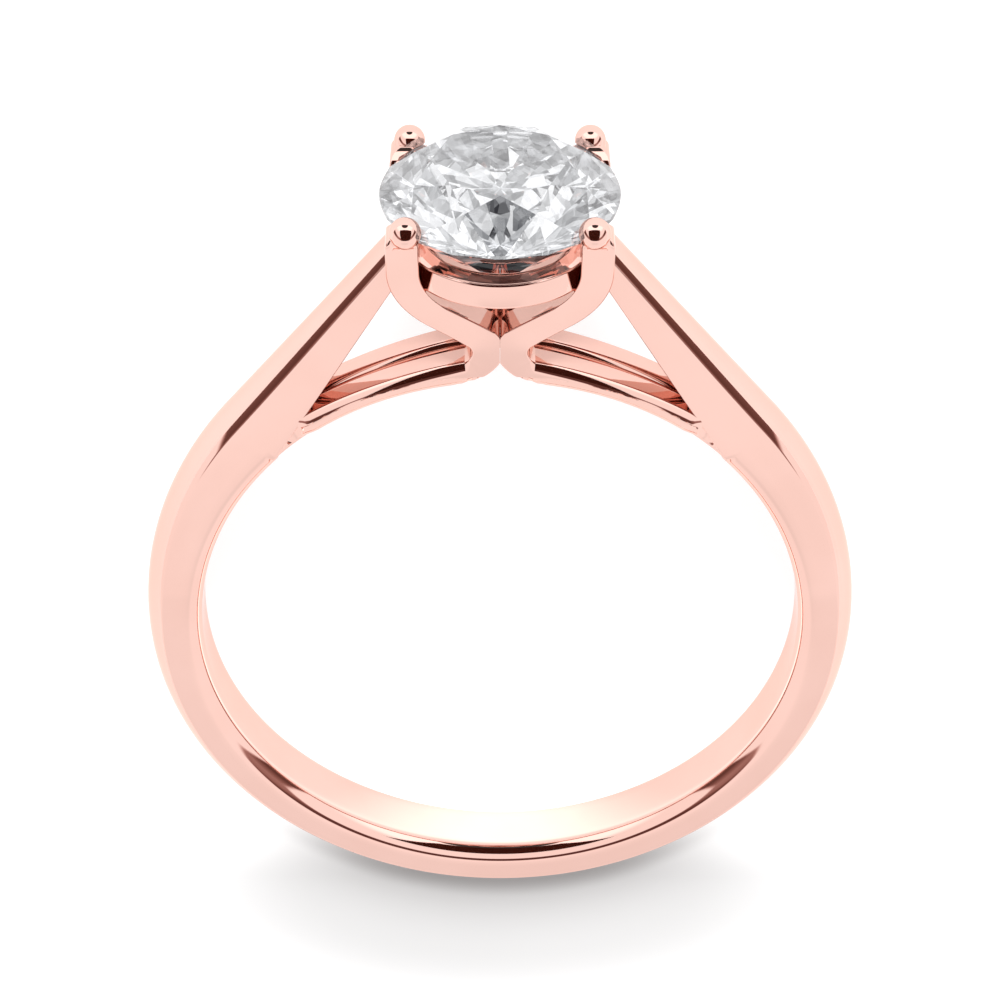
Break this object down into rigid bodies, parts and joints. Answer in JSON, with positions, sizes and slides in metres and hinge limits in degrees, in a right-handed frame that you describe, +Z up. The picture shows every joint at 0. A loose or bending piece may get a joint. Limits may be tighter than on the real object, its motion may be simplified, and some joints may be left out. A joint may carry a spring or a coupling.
{
  "type": "solitaire ring",
  "caption": "Finger ring with a domed band, cathedral arms over a bridge, and a round brilliant stone held by beaded claws",
  "frame": {"origin": "Centre of the bounding box's base: under the ring as it lies on its side on a level surface.", "axes": "The ring lies on its side with the stone towards +Y and the foot of the band towards -Y. X runs across the ring. Z is up, and is close to the direction in which a finger goes through; it is not exactly so, because the ring leans by about 5.1 degrees, with the edge of the stone and the foot of the band on the surface."},
  "size_m": [0.0206, 0.0256, 0.0063],
  "materials": {
    "metal": "polished",
    "stone": "polished"
  },
  "bodies": {
    "root": {"ring_mount": "metal", "round_stone": "stone"}
  },
  "joints": []
}
